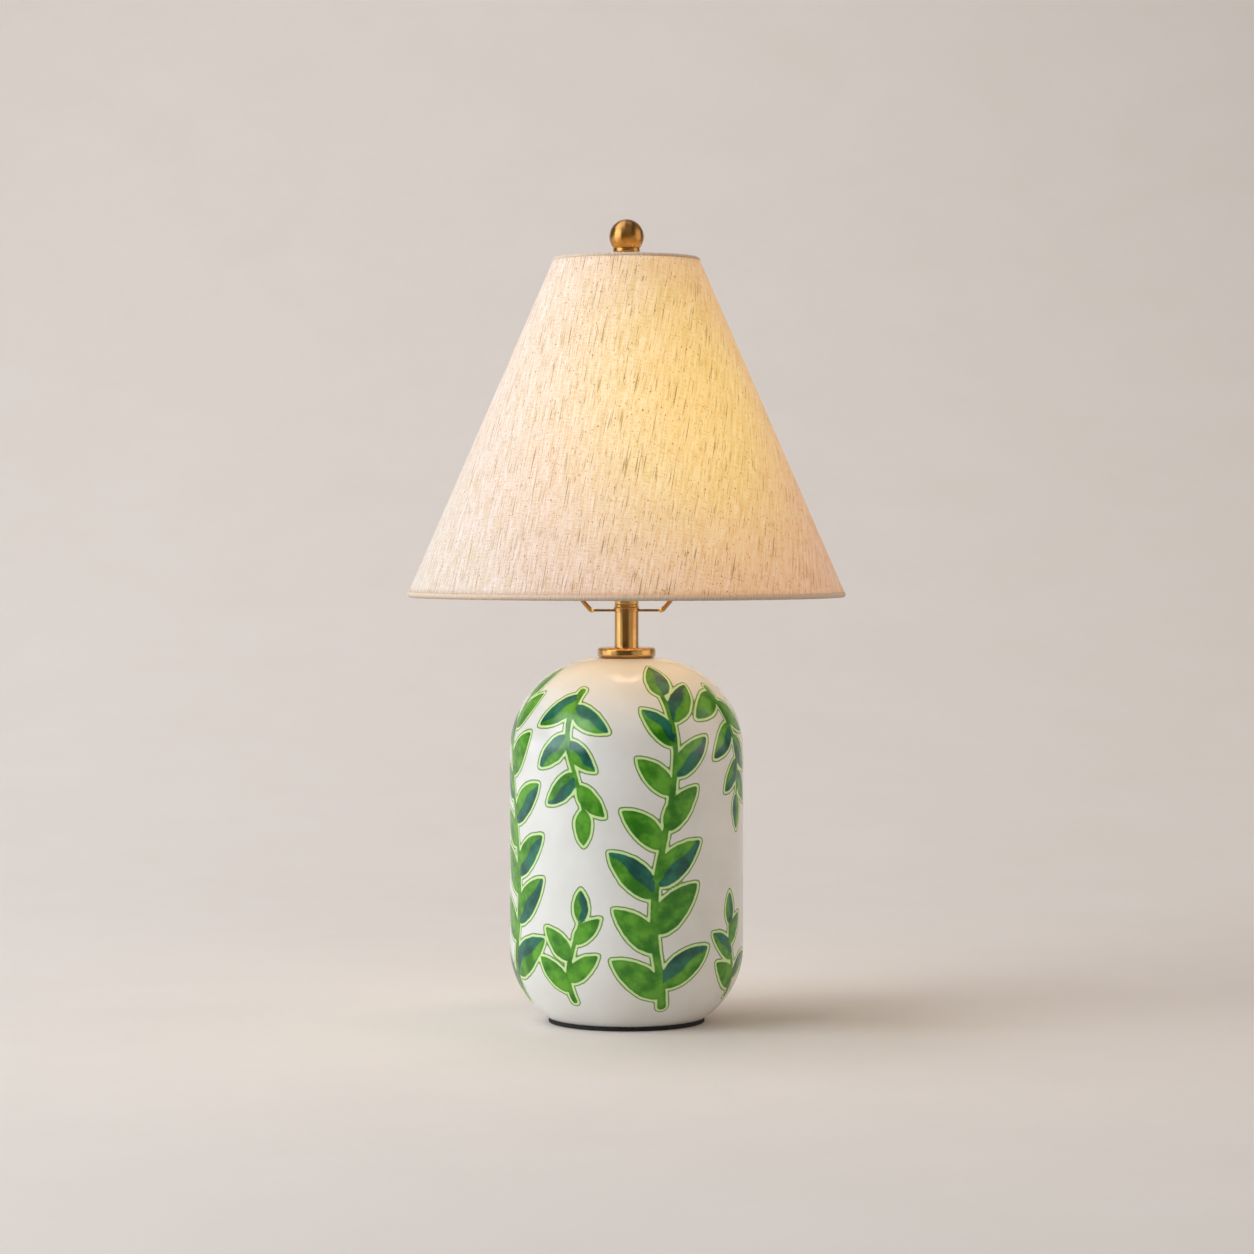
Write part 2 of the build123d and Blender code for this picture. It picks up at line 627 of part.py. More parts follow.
# Bulb stem: a glass plug and post with two discs that hold the filaments
plug_radius = bulb_neck_radius - BULB_GLASS_WALL - PRESS
plug_top = glass_bottom + STEM_PLUG_HEIGHT
filament_bottom = globe_height - FILAMENT_LENGTH / 2
filament_top = filament_bottom + FILAMENT_LENGTH
with BuildPart() as bulb_stem:
    with BuildSketch(Plane.XZ):
        Polygon(
            (0, glass_bottom),
            (plug_radius, glass_bottom),
            (plug_radius, plug_top),
            (STEM_RADIUS, plug_top + STEM_CONE_HEIGHT),
            (STEM_RADIUS, filament_bottom - STEM_DISC_THICKNESS),
            (STEM_DISC_RADIUS, filament_bottom - STEM_DISC_THICKNESS),
            (STEM_DISC_RADIUS, filament_bottom),
            (STEM_ROD_RADIUS, filament_bottom),
            (STEM_ROD_RADIUS, filament_top),
            (STEM_DISC_RADIUS, filament_top),
            (STEM_DISC_RADIUS, filament_top + STEM_DISC_THICKNESS),
            (0, filament_top + STEM_DISC_THICKNESS),
            align=None,
        )
    revolve(axis=Axis.Z)
write(bulb_stem, "bulb_stem")

with BuildPart() as bulb_filaments:
    with BuildSketch(Plane.XY.offset(filament_bottom)):
        with PolarLocations(FILAMENT_CIRCLE, FILAMENT_COUNT):
            Circle(FILAMENT_RADIUS)
    extrude(amount=FILAMENT_LENGTH)
write(bulb_filaments, "bulb_filaments")

# Harp: one bent wire whose legs stand on the prongs, inside the sleeves
leg_bottom = prong_top + PRESS
flare_foot = leg_bottom + HARP_LEG_STRAIGHT
flare_head = flare_foot + HARP_FLARE_HEIGHT
shoulder = harp_crown - HARP_SHOULDER_DROP
right_leg = [
    (SADDLE_SPAN, leg_bottom),
    (SADDLE_SPAN, flare_foot),
    (HARP_HALF_WIDTH, flare_head),
    (HARP_HALF_WIDTH, shoulder),
    (HARP_CROWN_HALF, harp_crown),
]
leg_bends = [HARP_FLARE_BEND, HARP_WAIST_BEND, HARP_SHOULDER_BEND, HARP_CROWN_BEND]
with BuildPart() as harp_wire:
    with BuildLine(Plane.XZ) as harp_path:
        FilletPolyline(
            *right_leg,
            *[(-reach, height) for reach, height in reversed(right_leg)],
            radius=[*leg_bends, *reversed(leg_bends)],
        )
    with BuildSketch(Plane(origin=harp_path.line @ 0, z_dir=harp_path.line % 0)):
        Circle(HARP_WIRE_RADIUS)
    sweep(path=harp_path.line)
write(harp_wire, "harp_wire")

# Harp stud: a block threaded over the wire, with a flange for the shade and a screw for the finial
block_half = HARP_WIRE_RADIUS + STUD_BLOCK_COVER
stud_top = collar_bottom + STUD_THREAD_LENGTH
with BuildPart() as harp_stud:
    with BuildSketch(Plane.XY.offset(harp_crown - block_half)):
        Circle(STUD_BLOCK_RADIUS)
    extrude(amount=2 * block_half)
    with BuildSketch(Plane.YZ):
        with Locations((0, harp_crown)):
            Circle(HARP_WIRE_RADIUS + PRESS)
    extrude(amount=STUD_BLOCK_RADIUS, both=True, mode=Mode.SUBTRACT)
    with BuildSketch(Plane.XY.offset(harp_crown + block_half)):
        Circle(STUD_FLANGE_RADIUS)
    extrude(amount=STUD_FLANGE_THICKNESS)
    with BuildSketch(Plane.XY.offset(harp_seat)):
        Circle(STUD_RADIUS)
    extrude(amount=stud_top - harp_seat)
write(harp_stud, "harp_stud")

# Harp sleeves: two ferrules that lock the legs to the prongs
sleeve_bore = HARP_WIRE_RADIUS + SLIP
prong_lean = atan2(SADDLE_SPAN - SADDLE_REACH, SADDLE_RISE)
sleeve_bottom = prong_foot + SADDLE_BEND * tan(prong_lean / 2) + REST_GAP
for side, name in ((-1, "harp_sleeve_left"), (1, "harp_sleeve_right")):
    with BuildPart() as harp_sleeve:
        with BuildSketch(Plane.XY.offset(sleeve_bottom)):
            with Locations((side * SADDLE_SPAN, 0)):
                Circle(sleeve_bore + SLEEVE_WALL)
                Circle(sleeve_bore, mode=Mode.SUBTRACT)
        extrude(amount=SLEEVE_LENGTH)
        fillet(widest_edges(harp_sleeve), radius=SLEEVE_EDGE)
    write(harp_sleeve, name)

# The shade's outer cone, and the wire rings that its two hems are rolled over
shade_slope = (SHADE_BOTTOM_RADIUS - SHADE_TOP_RADIUS) / SHADE_HEIGHT
slant = sqrt(1 + shade_slope**2)
hem_radius = SHADE_WIRE_RADIUS + LAYER_GAP + HEM_THICKNESS
ring_inset = (hem_radius - HEM_PROUD) * slant


def cone_radius(height):
    """The radius of the shade's outer face at a height."""
    return SHADE_TOP_RADIUS + (shade_top - height) * shade_slope


top_wire_height = shade_top - hem_radius
top_wire_radius = cone_radius(top_wire_height) - ring_inset
bottom_wire_height = shade_bottom + hem_radius
bottom_wire_radius = cone_radius(bottom_wire_height) - ring_inset


def shade_panel(outer_inset, inner_inset):
    """One layer of the shade's wall, between the two hems."""
    with BuildPart() as panel:
        with BuildSketch(Plane.XZ):
            Polygon(
                (cone_radius(bottom_wire_height) - outer_inset * slant, bottom_wire_height),
                (cone_radius(top_wire_height) - outer_inset * slant, top_wire_height),
                (cone_radius(top_wire_height) - inner_inset * slant, top_wire_height),
                (cone_radius(bottom_wire_height) - inner_inset * slant, bottom_wire_height),
                align=None,
            )
        revolve(axis=Axis.Z)
        with Locations((0, 0, bottom_wire_height)):
            Torus(bottom_wire_radius, hem_radius + LAYER_GAP, mode=Mode.SUBTRACT)
        with Locations((0, 0, top_wire_height)):
            Torus(top_wire_radius, hem_radius + LAYER_GAP, mode=Mode.SUBTRACT)
    return panel


def rolled_hem(ring_radius, ring_height):
    """Cloth rolled over a wire ring, left open on the inner side for the spider's arms."""
    with BuildPart() as hem:
        with BuildSketch(Plane.XZ):
            with Locations((ring_radius, ring_height)):
                Circle(hem_radius)
                Circle(SHADE_WIRE_RADIUS + LAYER_GAP, mode=Mode.SUBTRACT)
            with Locations((ring_radius - hem_radius, ring_height)):
                Rectangle(2 * hem_radius, 2 * (SPIDER_ARM_RADIUS + REST_GAP), mode=Mode.SUBTRACT)
        revolve(axis=Axis.Z)
    return hem


shade_cover = shade_panel(0, COVER_THICKNESS)
write(shade_cover, "shade_cover")

backing_face = COVER_THICKNESS + LAYER_GAP
shade_backing = shade_panel(backing_face, backing_face + BACKING_THICKNESS)
write(shade_backing, "shade_backing")

top_hem = rolled_hem(top_wire_radius, top_wire_height)
write(top_hem, "top_hem")

bottom_hem = rolled_hem(bottom_wire_radius, bottom_wire_height)
write(bottom_hem, "bottom_hem")

with BuildPart() as bottom_ring:
    with Locations((0, 0, bottom_wire_height)):
        Torus(bottom_wire_radius, SHADE_WIRE_RADIUS)
write(bottom_ring, "bottom_ring")

# Spider frame: top ring, arms and hub, welded into one piece
hub_middle = harp_seat + HUB_THICKNESS / 2
with BuildPart() as spider_frame:
    with BuildSketch(Plane.XY.offset(harp_seat)):
        Circle(HUB_RADIUS)
    extrude(amount=HUB_THICKNESS)
    with Locations((0, 0, hub_top)):
        Hole(STUD_RADIUS + MOVE_GAP)
    with Locations((0, 0, top_wire_height)):
        Torus(top_wire_radius, SHADE_WIRE_RADIUS)
    for arm in range(SPIDER_ARMS):
        heading = Vector(1, 0, 0).rotate(Axis.Z, SPIDER_HEADING + arm * 360 / SPIDER_ARMS)
        arm_root = heading * (HUB_RADIUS - SPIDER_ARM_RADIUS) + Vector(0, 0, hub_middle)
        arm_tip = heading * top_wire_radius + Vector(0, 0, top_wire_height)
        with BuildSketch(Plane(origin=arm_root, z_dir=arm_tip - arm_root)):
            Circle(SPIDER_ARM_RADIUS)
        extrude(amount=(arm_tip - arm_root).length)
write(spider_frame, "spider_frame")

# Finial collar: two flanges about a waist, threaded inside, with a spigot for the ball
collar_bore = STUD_RADIUS + MOVE_GAP
waist_bottom = collar_bottom + COLLAR_BASE_THICKNESS
waist_top = collar_top - COLLAR_TOP_THICKNESS
with BuildPart() as finial_collar:
    with BuildSketch(Plane.XY.offset(collar_bottom)):
        Circle(COLLAR_BASE_RADIUS)
    extrude(amount=COLLAR_BASE_THICKNESS)
    fillet(widest_edges(finial_collar), radius=COLLAR_EDGE)
    with BuildSketch(Plane.XY.offset(waist_bottom)):
        Circle(COLLAR_WAIST_RADIUS)
    extrude(amount=waist_top - waist_bottom)
    with BuildSketch(Plane.XY.offset(waist_top)):
        Circle(COLLAR_TOP_RADIUS)
    extrude(amount=COLLAR_TOP_THICKNESS)
    fillet(widest_edges(finial_collar), radius=COLLAR_EDGE)
    with BuildSketch(Plane.XY.offset(collar_top)):
        Circle(SPIGOT_RADIUS)
    extrude(amount=SPIGOT_HEIGHT)
    with BuildSketch(Plane.XY.offset(collar_bottom)):
        Circle(collar_bore)
    extrude(amount=STUD_THREAD_LENGTH + THREAD_RUNOUT, mode=Mode.SUBTRACT)
write(finial_collar, "finial_collar")

# Finial ball: cut flat where it sits on the collar, with a socket for the spigot
ball_bottom = collar_top + PRESS
ball_centre = ball_bottom + sqrt(BALL_RADIUS**2 - BALL_SEAT_RADIUS**2)
with BuildPart() as finial_ball:
    with Locations((0, 0, ball_centre)):
        Sphere(BALL_RADIUS)
    split(bisect_by=Plane.XY.offset(ball_bottom), keep=Keep.TOP)
    with BuildSketch(Plane.XY.offset(ball_bottom)):
        Circle(SPIGOT_RADIUS + RUNNING)
    extrude(amount=SPIGOT_HEIGHT + REST_GAP, mode=Mode.SUBTRACT)
write(finial_ball, "finial_ball")

print(f"switch axis {switch_axis:.3f}  bulb seat {bulb_seat:.3f}  globe {globe_height:.3f}")
print(f"harp seat {harp_seat:.3f}  shade {shade_bottom:.3f} to {shade_top:.3f}  ball {ball_centre:.3f}")
print(f"inlet reach {inlet_reach:.4f}  tilt {degrees(inlet_tilt):.4f}")
print(f"inlet seats {outer_seat:.4f} and {inner_seat:.4f}")
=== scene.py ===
import json
import math

import bpy
import numpy as np
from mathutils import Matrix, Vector


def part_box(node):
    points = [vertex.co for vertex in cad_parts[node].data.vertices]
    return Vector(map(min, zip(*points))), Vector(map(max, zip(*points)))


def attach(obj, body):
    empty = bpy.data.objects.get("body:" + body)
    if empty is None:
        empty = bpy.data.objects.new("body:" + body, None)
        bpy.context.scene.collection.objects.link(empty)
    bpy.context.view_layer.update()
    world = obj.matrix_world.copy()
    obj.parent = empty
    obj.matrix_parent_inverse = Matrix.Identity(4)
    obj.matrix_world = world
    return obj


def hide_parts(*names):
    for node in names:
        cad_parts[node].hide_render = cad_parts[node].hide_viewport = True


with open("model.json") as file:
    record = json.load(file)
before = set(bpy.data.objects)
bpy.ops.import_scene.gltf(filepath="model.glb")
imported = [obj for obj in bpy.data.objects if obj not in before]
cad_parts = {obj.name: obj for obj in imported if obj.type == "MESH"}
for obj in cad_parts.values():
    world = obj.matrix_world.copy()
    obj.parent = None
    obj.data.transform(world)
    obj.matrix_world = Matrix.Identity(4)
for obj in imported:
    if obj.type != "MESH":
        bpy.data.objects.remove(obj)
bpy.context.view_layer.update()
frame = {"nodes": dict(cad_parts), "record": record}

MM = 0.001


def linear(red, green, blue):
    """A colour given in 0-255 screen levels, as the renderer's linear values."""
    levels = [v / 255 for v in (red, green, blue)]
    values = [v / 12.92 if v <= 0.04045 else ((v + 0.055) / 1.055) ** 2.4 for v in levels]
    return (*values, 1.0)


class Paint:
    """A procedural material, put together node by node."""

    def __init__(self, name, **surface):
        self.material = bpy.data.materials.new(name)
        self.material.use_nodes = True
        self.tree = self.material.node_tree
        self.bsdf = self.tree.nodes["Principled BSDF"]
        for key, value in surface.items():
            self.set(key.replace("_", " ").title().replace("Ior", "IOR"), value)

    def feed(self, socket, value):
        if isinstance(value, bpy.types.NodeSocket):
            self.tree.links.new(value, socket)
        else:
            socket.default_value = value

    def set(self, name, value):
        self.feed(self.bsdf.inputs[name], value)

    def add(self, kind, inputs=None, **settings):
        node = self.tree.nodes.new("ShaderNode" + kind)
        for key, value in settings.items():
            setattr(node, key, value)
        for key, value in (inputs or {}).items():
            self.feed(node.inputs[key], value)
        return node

    def place(self):
        """The point's position in the lamp's own frame, in metres."""
        return self.add("TexCoord").outputs["Object"]

    def room(self):
        """The point's position in the room, which stays put where a piece turns."""
        return self.add("NewGeometry").outputs["Position"]

    def attribute(self, name, output="Fac"):
        return self.add("Attribute", attribute_name=name).outputs[output]

    def split(self, vector):
        return self.add("SeparateXYZ", {0: vector}).outputs

    def join(self, x=0.0, y=0.0, z=0.0):
        return self.add("CombineXYZ", {0: x, 1: y, 2: z}).outputs[0]

    def stretch(self, vector, scale):
        return self.add("VectorMath", {0: vector, 1: scale}, operation="MULTIPLY").outputs[0]

    def noise(self, vector, scale, detail=2.0, roughness=0.5):
        inputs = {"Vector": vector, "Scale": scale, "Detail": detail, "Roughness": roughness}
        return self.add("TexNoise", inputs).outputs[0]

    def fibres(self, flat, across, along, detail, roughness):
        """Noise drawn out along a cloth's threads, in cells per metre across and along them."""
        return self.noise(self.stretch(flat, (across, along, 1.0)), 1.0, detail, roughness)

    def math(self, operation, first, second=0.0):
        return self.add("Math", {0: first, 1: second}, operation=operation).outputs[0]

    def plus(self, first, second):
        return self.math("ADD", first, second)

    def times(self, first, second):
        return self.math("MULTIPLY", first, second)

    def span(self, value, low, high, to_low=0.0, to_high=1.0, smooth=False):
        """The value, mapped from low..high to to_low..to_high and held at the ends."""
        kind = "SMOOTHSTEP" if smooth else "LINEAR"
        inputs = {
            "Value": value, "From Min": low, "From Max": high, "To Min": to_low, "To Max": to_high,
        }
        return self.add("MapRange", inputs, interpolation_type=kind).outputs[0]

    def even(self, noise, to_low=0.0, to_high=1.0):
        """The middle range of a noise, where most of it lies, mapped to to_low..to_high."""
        return self.span(noise, 0.3, 0.7, to_low, to_high)

    def mix(self, factor, first, second):
        return self.add("Mix", {0: factor, 6: first, 7: second}, data_type="RGBA").outputs[2]

    def tint(self, colour, factor):
        """A colour times a grey factor."""
        inputs = {0: 1.0, 6: colour, 7: self.join(factor, factor, factor)}
        return self.add("Mix", inputs, data_type="RGBA", blend_type="MULTIPLY").outputs[2]

    def bump(self, height, distance, strength=1.0):
        inputs = {"Height": height, "Distance": distance, "Strength": strength}
        self.set("Normal", self.add("Bump", inputs).outputs[0])


# Metals, plastics and card


def around_axis(paint):
    """Height and distance from the lamp's axis, for marks left by turning on a lathe."""
    x, y, z = paint.split(paint.place())
    return z, paint.math("SQRT", paint.plus(paint.times(x, x), paint.times(y, y)))


def metal(name, light, dark, roughness, line_depth, coat=0.0, streak=0.3):
    """Turned or drawn metal: patches of tarnish, and fine lines around the axis."""
    grain_gloss, patch_gloss = 0.02, 0.06
    paint = Paint(name, metallic=1.0, coat_weight=coat, coat_roughness=0.2)
    paint.set("Anisotropic", streak)
    paint.set("Anisotropic Rotation", 0.25)
    patches = paint.span(paint.noise(paint.place(), 90.0, 3.0, 0.6), 0.35, 0.7)
    paint.set("Base Color", paint.mix(patches, light, dark))
    height, radius = around_axis(paint)
    grain = paint.noise(paint.join(height, radius), 2600.0, 2.0, 0.7)
    rough = paint.plus(paint.even(grain, -grain_gloss, grain_gloss), roughness)
    paint.set("Roughness", paint.plus(rough, paint.times(patches, patch_gloss)))
    paint.bump(grain, line_depth)
    return paint.material


def plain(name, light, dark, roughness, scale, depth):
    """Moulded, sprayed or pressed material: a fine mottle in colour, gloss and relief."""
    gloss, finer = 0.05, 6
    paint = Paint(name)
    where = paint.place()
    mottle = paint.noise(where, scale, 3.0, 0.6)
    paint.set("Base Color", paint.mix(paint.even(mottle), light, dark))
    paint.set("Roughness", paint.even(mottle, roughness - gloss, roughness + gloss))
    paint.bump(paint.noise(where, scale * finer, 2.0, 0.6), depth)
    return paint.material


# Glaze and glass

WHITE, OFF_WHITE = linear(236, 235, 232), linear(228, 226, 222)
GREEN, PALE_GREEN, POOLED_GREEN = linear(40, 118, 6), linear(98, 170, 42), linear(36, 102, 6)
TEAL, PALE_TEAL = linear(4, 74, 64), linear(36, 118, 92)
OLIVE_LINE, PALE_LINE = linear(104, 138, 66), linear(208, 236, 166)
# Where each line around a leaf gives way to the next, in millimetres from the leaf's edge
FILL_ENDS, PALE_LINE_ENDS, OLIVE_LINE_ENDS = (-0.2, 0.25), (1.45, 1.85), (2.25, 2.75)


def glaze():
    """White glaze over the brushed sprigs: fill, a pale line, a thin olive line, and bare white."""
    paint = Paint("glaze", ior=1.5)
    where = paint.place()
    waver = paint.even(paint.noise(where, 160.0, 2.0), -0.25, 0.25)
    edge = paint.plus(paint.attribute("sprig"), waver)
    wash = paint.span(paint.noise(where, 75.0, 3.0, 0.55), 0.34, 0.66, smooth=True)
    pooled = paint.span(edge, -2.2, -0.2, 0.0, 0.35)
    green = paint.mix(pooled, paint.mix(wash, GREEN, PALE_GREEN), POOLED_GREEN)
    teal = paint.span(paint.attribute("teal"), -0.7, 0.7, smooth=True)
    leaf = paint.mix(teal, green, paint.mix(wash, TEAL, PALE_TEAL))
    white = paint.mix(paint.even(paint.noise(where, 28.0, 3.0, 0.6)), WHITE, OFF_WHITE)
    colour = paint.mix(paint.span(edge, *OLIVE_LINE_ENDS), OLIVE_LINE, white)
    colour = paint.mix(paint.span(edge, *PALE_LINE_ENDS), PALE_LINE, colour)
    colour = paint.mix(paint.span(edge, *FILL_ENDS), leaf, colour)
    paint.set("Base Color", colour)
    ripple = paint.noise(where, 55.0, 2.0, 0.4)
    pinholes = paint.noise(where, 900.0, 1.0, 0.5)
    paint.set("Roughness", paint.span(pinholes, 0.3, 0.75, 0.17, 0.26))
    paint.bump(paint.plus(ripple, paint.times(pinholes, 0.03)), 0.0006, 0.25)
    return paint.material


def glass_glow(name, glow, strength):
    """Frosted glass or phosphor, lit from within."""
    paint = Paint(name, roughness=0.35, emission_strength=strength)
    frost = paint.noise(paint.place(), 420.0, 3.0, 0.6)
    white, cream = linear(248, 244, 236), linear(238, 232, 220)
    paint.set("Base Color", paint.mix(paint.even(frost), white, cream))
    paint.set("Emission Color", glow)
    paint.bump(frost, 0.0002, 0.4)
    return paint.material


def clear_glass():
    """Clear glass with a faint smoky bloom."""
    paint = Paint("clear_glass", transmission_weight=1.0, ior=1.5)
    smoke = paint.noise(paint.place(), 300.0, 3.0, 0.6)
    clear, grey = linear(252, 252, 250), linear(236, 242, 240)
    paint.set("Base Color", paint.mix(paint.even(smoke), clear, grey))
    paint.set("Roughness", paint.even(smoke, 0.02, 0.1))
    return paint.material


# Cloth

DULL_LINEN, BRIGHT_LINEN = linear(186, 183, 162), linear(206, 219, 224)
FLECK_BROWN = linear(176, 122, 30)
FLECK_COVER = 0.8
FLECK_SHADE = 0.22
THREAD_RANGE = (0.42, 0.58)
# The light through the shade falls off around a point in the room, in metres
GLOW_CENTRE = (0.0404, 0.0863, 0.431)
GLOW_STRETCH = (1.0, 1.0, 0.7)
GLOW_REACH = 0.12
GLOW_FLOOR = 0.15
GLOW_STRENGTH = 0.72
GLOW_EDGE, GLOW_HEART = linear(255, 152, 50), linear(255, 192, 4)
HEM_GLOW, HEM_GLOW_STRENGTH = linear(255, 158, 80), 0.055


def weave(paint):
    """The cloth's soft streaks, and its dark threads and specks, from its flat cut: both 0 to 1."""
    flat = paint.attribute("cut", "Vector")
    warp = paint.fibres(flat, 1150.0, 50.0, 3.0, 0.65)
    weft = paint.fibres(flat, 150.0, 1400.0, 2.0, 0.6)
    broad = paint.fibres(flat, 430.0, 30.0, 2.0, 0.5)
    threads = paint.plus(paint.times(warp, 0.46), paint.times(weft, 0.34))
    threads = paint.plus(threads, paint.times(broad, 0.20))
    specks = paint.span(paint.fibres(flat, 760.0, 420.0, 1.0, 0.4), 0.67, 0.74)
    long_dashes = paint.span(paint.fibres(flat, 1050.0, 34.0, 1.0, 0.4), 0.64, 0.72)
    short_dashes = paint.span(paint.fibres(flat, 1260.0, 82.0, 1.0, 0.4), 0.655, 0.74)
    dashes = paint.math("MAXIMUM", long_dashes, short_dashes)
    return threads, paint.math("MAXIMUM", specks, paint.times(dashes, 0.9))


def nearness(paint):
    """1 at the middle of the glow, falling off around it as a bell. The back mirrors the front."""
    x, y, z = paint.split(paint.room())
    mirrored = paint.join(x, paint.math("ABSOLUTE", y), z)
    apart = paint.add("VectorMath", {0: mirrored, 1: GLOW_CENTRE}, operation="SUBTRACT").outputs[0]
    apart = paint.stretch(apart, GLOW_STRETCH)
    away = paint.add("VectorMath", {0: apart}, operation="LENGTH").outputs["Value"]
    square = paint.math("POWER", paint.math("DIVIDE", away, GLOW_REACH), 2.0)
    return paint.math("DIVIDE", 1.0, paint.plus(square, 1.0))


def linen():
    """Slubby linen with brown flecks, lit through by the bulb behind it."""
    paint = Paint("linen", sheen_weight=0.15, sheen_roughness=0.6)
    threads, flecks = weave(paint)
    cloth = paint.mix(paint.span(threads, *THREAD_RANGE), DULL_LINEN, BRIGHT_LINEN)
    paint.set("Base Color", paint.mix(paint.times(flecks, FLECK_COVER), cloth, FLECK_BROWN))
    paint.set("Roughness", paint.even(threads, 0.95, 0.82))
    paint.bump(paint.plus(threads, paint.times(flecks, 0.4)), 0.0009, 0.36)
    near = nearness(paint)
    glow = paint.plus(paint.times(near, 1 - GLOW_FLOOR), GLOW_FLOOR)
    through = paint.span(threads, *THREAD_RANGE, 0.89, 1.08)
    through = paint.times(through, paint.span(flecks, 0.0, 1.0, 1.0, FLECK_SHADE))
    warm = paint.mix(paint.span(near, 0.44, 0.84), GLOW_EDGE, GLOW_HEART)
    paint.set("Emission Color", paint.tint(warm, paint.times(glow, through)))
    paint.set("Emission Strength", GLOW_STRENGTH)
    return paint.material


def hem_cloth():
    """The same cloth, folded thick over the wire so that little light comes through; its underside
    is painted darker, as shade.
    """
    paint = Paint("hem_tape", sheen_weight=0.2, sheen_roughness=0.6)
    flat = paint.attribute("cut", "Vector")
    ribs = paint.fibres(flat, 900.0, 120.0, 2.0, 0.6)
    fuzz = paint.fibres(flat, 260.0, 700.0, 3.0, 0.6)
    ribs_light = paint.span(ribs, 0.32, 0.68)
    upper = paint.span(paint.split(flat)[1], -0.003, 0.0014, smooth=True)
    # Painted shade: the roll's lower half is darker, standing in for the shadow on its underside.
    # Only the upper half gets the faint glow of light through the cloth
    painted_shade_below = paint.mix(ribs_light, linear(160, 134, 113), linear(196, 168, 144))
    above = paint.mix(ribs_light, linear(208, 186, 162), linear(234, 216, 196))
    paint.set("Base Color", paint.mix(upper, painted_shade_below, above))
    paint.set("Emission Color", paint.mix(upper, linear(0, 0, 0), HEM_GLOW))
    paint.set("Emission Strength", HEM_GLOW_STRENGTH)
    paint.set("Roughness", paint.even(fuzz, 0.85, 0.95))
    paint.bump(paint.plus(ribs, fuzz), 0.0007, 0.7)
    return paint.material


# Meshes


def new_mesh(name, points, faces, material=None):
    """A smooth-shaded mesh."""
    mesh = bpy.data.meshes.new(name)
    mesh.from_pydata([tuple(p) for p in points], [], [tuple(f) for f in faces])
    mesh.validate()
    mesh.shade_smooth()
    obj = bpy.data.objects.new(name, mesh)
    bpy.context.scene.collection.objects.link(obj)
    if material is not None:
        mesh.materials.append(material)
    return obj


def grid_faces(rows, columns, close_rows=False, close_columns=False):
    """Quads over a grid of points that are stored row by row."""
    row = np.arange(rows if close_rows else rows - 1)
    column = np.arange(columns if close_columns else columns - 1)
    r, c = np.meshgrid(row, column, indexing="ij")
    r2, c2 = (r + 1) % rows, (c + 1) % columns
    corners = [r * columns + c, r * columns + c2, r2 * columns + c2, r2 * columns + c]
    return np.stack(corners, -1).reshape(-1, 4)


def ring_points(radius, angle, height):
    """Points at a radius and height around the lamp's axis, with angle 0 at the front."""
    x, y = radius * np.sin(angle), -radius * np.cos(angle)
    return np.stack([x, y, np.broadcast_to(height, x.shape)], -1).reshape(-1, 3)


def store(obj, name, values):
    """A value per point, for the material to read."""
    values = np.asarray(values, np.float32)
    kind, key = ("FLOAT", "value") if values.ndim == 1 else ("FLOAT_VECTOR", "vector")
    layer = obj.data.attributes.new(name, kind, "POINT")
    layer.data.foreach_set(key, values.ravel())


def points_of(obj):
    flat = np.zeros(len(obj.data.vertices) * 3, np.float32)
    obj.data.vertices.foreach_get("co", flat)
    return flat.reshape(-1, 3).astype(float)


# The ceramic body's outline, in millimetres
body_low, body_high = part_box("ceramic_body")
BODY_RADIUS = body_high.x / MM
BODY_BOTTOM = body_low.z / MM
BODY_TOP = body_high.z / MM
BODY_WALL = 6.0
FOOT_RADIUS = 54.5
FOOT_OPENING = 45.5
TOP_FLAT = 16.5
TOP_HOLE = 5.7
HEEL = 59.0
SHOULDER = BODY_RADIUS - TOP_FLAT
heel_centre = BODY_RADIUS - HEEL
heel_angle = math.acos((FOOT_RADIUS - heel_centre) / HEEL)
heel_height = BODY_BOTTOM + HEEL * math.sin(heel_angle)
shoulder_height = BODY_TOP - SHOULDER
wall_length = shoulder_height - heel_height
shoulder_length = SHOULDER * math.pi / 2

# The body's grid: the distance between its outer rings, and its points around
PITCH = 1.3
COLUMNS = 378
TOP_RINGS = 10
INNER_RINGS = 12

INLET_TILT = math.radians(22.4893)
INLET_RADIUS = 5.5
INLET_SIDES = 48
INLET_CUT = 60.0


def outline():
    """Radius and height down the outside from the top hole, and back up the inside."""
    out = [(r, BODY_TOP) for r in np.linspace(TOP_HOLE, TOP_FLAT, TOP_RINGS)[:-1]]
    for a in np.linspace(math.pi / 2, 0, round(shoulder_length / PITCH)):
        out.append((TOP_FLAT + SHOULDER * math.cos(a), shoulder_height + SHOULDER * math.sin(a)))
    wall = np.linspace(shoulder_height, heel_height, round(wall_length / PITCH))
    out += [(BODY_RADIUS, z) for z in wall[1:-1]]
    for a in np.linspace(0, heel_angle, round(HEEL * heel_angle / PITCH)):
        out.append((heel_centre + HEEL * math.cos(a), heel_height - HEEL * math.sin(a)))
    inner = HEEL - BODY_WALL
    inner_heel = math.acos((FOOT_OPENING - heel_centre) / inner)
    for a in np.linspace(inner_heel, 0, INNER_RINGS):
        height = max(heel_height - inner * math.sin(a), BODY_BOTTOM)
        out.append((heel_centre + inner * math.cos(a), height))
    inner = SHOULDER - BODY_WALL
    for a in np.linspace(0, math.pi / 2, INNER_RINGS):
        out.append((TOP_FLAT + inner * math.cos(a), shoulder_height + inner * math.sin(a)))
    out.append((TOP_HOLE, BODY_TOP - BODY_WALL))
    return np.array(out)


def turned(name, section, columns):
    """A section of radius and height, turned about the lamp's axis into a closed skin."""
    angle = np.arange(columns) * 2 * math.pi / columns
    points = ring_points(section[:, :1], angle, section[:, 1:]) * MM
    return new_mesh(name, points, grid_faces(len(section), columns, True, True))


